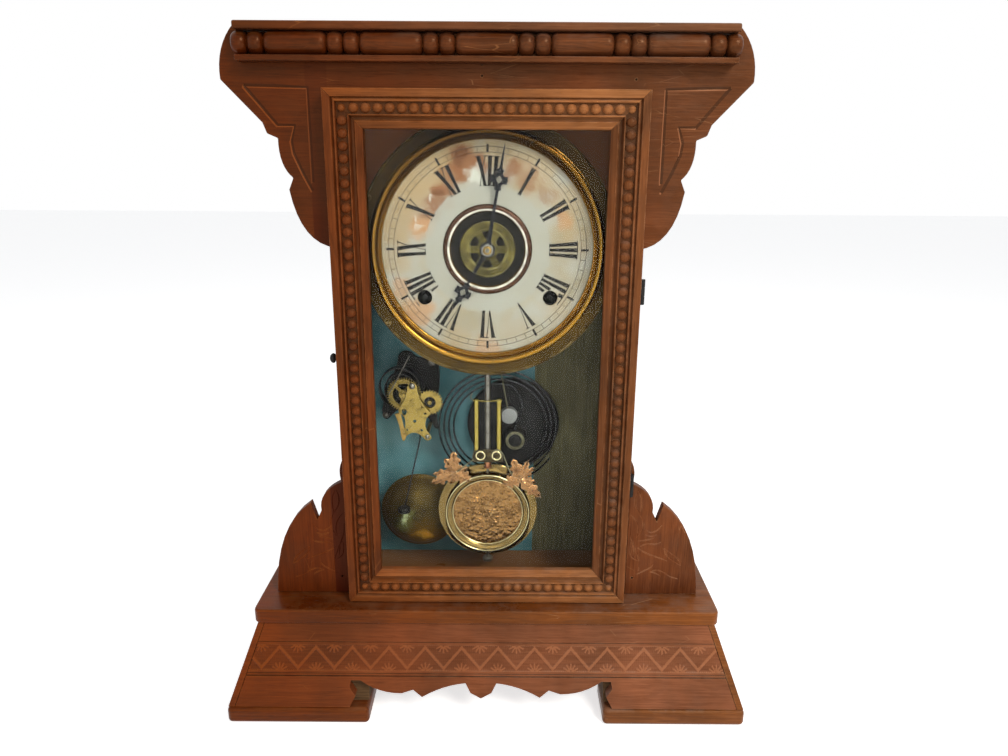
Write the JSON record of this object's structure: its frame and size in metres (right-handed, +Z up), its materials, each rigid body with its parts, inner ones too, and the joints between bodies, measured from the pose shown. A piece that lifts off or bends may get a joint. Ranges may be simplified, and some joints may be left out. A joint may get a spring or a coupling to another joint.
{
  "type": "shelf clock",
  "caption": "Wooden striking shelf clock with a hinged glazed door, scroll brackets under a turned cornice, a flared base, pendulum, wire gong and alarm bell.",
  "frame": {"origin": "on the table, under the middle of the clock's bounding box", "axes": "+Z up, +X to the right of someone facing the dial, front towards -Y"},
  "size_m": [0.405, 0.119, 0.511],
  "materials": {
    "case_wood": "worn reddish-brown varnish",
    "door_wood": "worn brown varnish",
    "base_wood": "worn reddish-brown varnish",
    "rough_wood": "bare, darkened",
    "label_paper": "faded matt paper",
    "dial_paper": "stained matt paper",
    "door_glass": "clear",
    "aged_brass": "aged, satin",
    "steel": "dull",
    "blued_steel": "dark blued",
    "black_iron": "black japanned",
    "zinc": "dull grey sheet"
  },
  "bodies": {
    "case": {"case_left_side": "case_wood", "case_right_side": "case_wood", "backboard": "rough_wood", "label_paper": "label_paper", "front_board": "case_wood", "cornice_board": "case_wood", "bead_moulding": "case_wood", "cornice_fillet": "case_wood", "wing_left": "case_wood", "wing_right": "case_wood", "base_shelf": "base_wood", "apron_front": "base_wood", "apron_left": "base_wood", "apron_right": "base_wood", "foot_left": "base_wood", "foot_right": "base_wood", "glue_block_left": "rough_wood", "glue_block_right": "rough_wood", "hinge_upper_case_leaf": "black_iron", "hinge_lower_case_leaf": "black_iron", "dial_pan": "zinc", "dial_paper": "dial_paper", "bezel": "aged_brass", "movement_front_plate": "aged_brass", "movement_back_plate": "aged_brass", "time_mainspring": "blued_steel", "strike_mainspring": "blued_steel", "gong_base": "black_iron", "gong_coil": "blued_steel", "alarm_frame": "aged_brass", "alarm_mainspring": "blued_steel", "alarm_bell": "aged_brass", "bell_post": "steel"},
    "door": {"door_top_rail": "door_wood", "door_bottom_rail": "door_wood", "door_left_stile": "door_wood", "door_right_stile": "door_wood", "glass_pane": "door_glass", "door_knob": "black_iron", "hinge_upper_door_leaf": "black_iron", "hinge_lower_door_leaf": "black_iron"},
    "minute": {"minute_arbor": "steel", "minute_hand": "blued_steel", "hand_nut": "aged_brass"},
    "hour": {"hour_wheel": "aged_brass", "hour_hand": "blued_steel"},
    "motion": {"motion_wheel": "aged_brass"},
    "alarm_dial": {"alarm_disc": "aged_brass"},
    "time_winding": {"time_winding_arbor": "steel"},
    "strike_winding": {"strike_winding_arbor": "steel"},
    "escape": {"escape_wheel": "aged_brass"},
    "verge": {"verge": "steel"},
    "pendulum": {"pendulum_rod": "steel", "pendulum_frame": "aged_brass", "pendulum_bob": "aged_brass", "rating_nut": "steel"},
    "gong_hammer": {"gong_hammer": "steel"},
    "alarm_hammer": {"alarm_hammer": "blued_steel"},
    "alarm_great": {"alarm_great_wheel": "aged_brass"},
    "alarm_second": {"alarm_second_wheel": "aged_brass"}
  },
  "joints": [
    {"name": "door_hinge", "type": "hinge", "parent": "case", "child": "door", "pos_m": [0.11, -0.021, 0.262], "axis": [0, 0, 1], "range_deg": [0, 105]},
    {"name": "minute_turn", "type": "hinge", "parent": "case", "child": "minute", "pos_m": [0, 0, 0.364], "axis": [0, 1, 0], "continuous": true},
    {"name": "hour_turn", "type": "hinge", "parent": "case", "child": "hour", "pos_m": [0, 0, 0.364], "axis": [0, 1, 0], "continuous": true},
    {"name": "motion_turn", "type": "hinge", "parent": "case", "child": "motion", "pos_m": [0, 0, 0.379], "axis": [0, 1, 0], "continuous": true},
    {"name": "alarm_disc_turn", "type": "hinge", "parent": "hour", "child": "alarm_dial", "pos_m": [0, 0, 0.364], "axis": [0, 1, 0], "continuous": true},
    {"name": "time_winding_turn", "type": "hinge", "parent": "case", "child": "time_winding", "pos_m": [0.046, 0, 0.329], "axis": [0, 1, 0], "continuous": true},
    {"name": "strike_winding_turn", "type": "hinge", "parent": "case", "child": "strike_winding", "pos_m": [-0.046, 0, 0.329], "axis": [0, 1, 0], "continuous": true},
    {"name": "escape_turn", "type": "hinge", "parent": "case", "child": "escape", "pos_m": [0, 0, 0.318], "axis": [0, 1, 0], "continuous": true},
    {"name": "pendulum_swing", "type": "hinge", "parent": "case", "child": "pendulum", "pos_m": [0, 0.0035, 0.3447], "axis": [0, 1, 0], "range_deg": [-4, 4]},
    {"name": "verge_rock", "type": "hinge", "parent": "case", "child": "verge", "pos_m": [0, 0.0075, 0.3365], "axis": [0, 1, 0], "range_deg": [-5, 5]},
    {"name": "gong_hammer_rock", "type": "hinge", "parent": "case", "child": "gong_hammer", "pos_m": [0.0005, 0.025, 0.318], "axis": [0, 1, 0], "range_deg": [0, 12], "stiffness_Nm_per_rad": 0.006, "springref_deg": -20.05},
    {"name": "alarm_hammer_rock", "type": "hinge", "parent": "case", "child": "alarm_hammer", "pos_m": [-0.054, 0.0211, 0.22], "axis": [-1, 0, 0], "range_deg": [0, 8]},
    {"name": "alarm_great_turn", "type": "hinge", "parent": "case", "child": "alarm_great", "pos_m": [-0.0675, 0.025, 0.245], "axis": [0, 1, 0], "continuous": true},
    {"name": "alarm_second_turn", "type": "hinge", "parent": "case", "child": "alarm_second", "pos_m": [-0.04675, 0.024, 0.23956], "axis": [0, 1, 0], "continuous": true}
  ],
  "couplings": [
    {"joint": "hour_turn", "follows": "minute_turn", "ratio": 0.083333},
    {"joint": "motion_turn", "follows": "minute_turn", "ratio": -0.33333},
    {"joint": "verge_rock", "follows": "pendulum_swing", "ratio": 1.2448},
    {"joint": "alarm_second_turn", "follows": "alarm_great_turn", "ratio": -1.75}
  ]
}
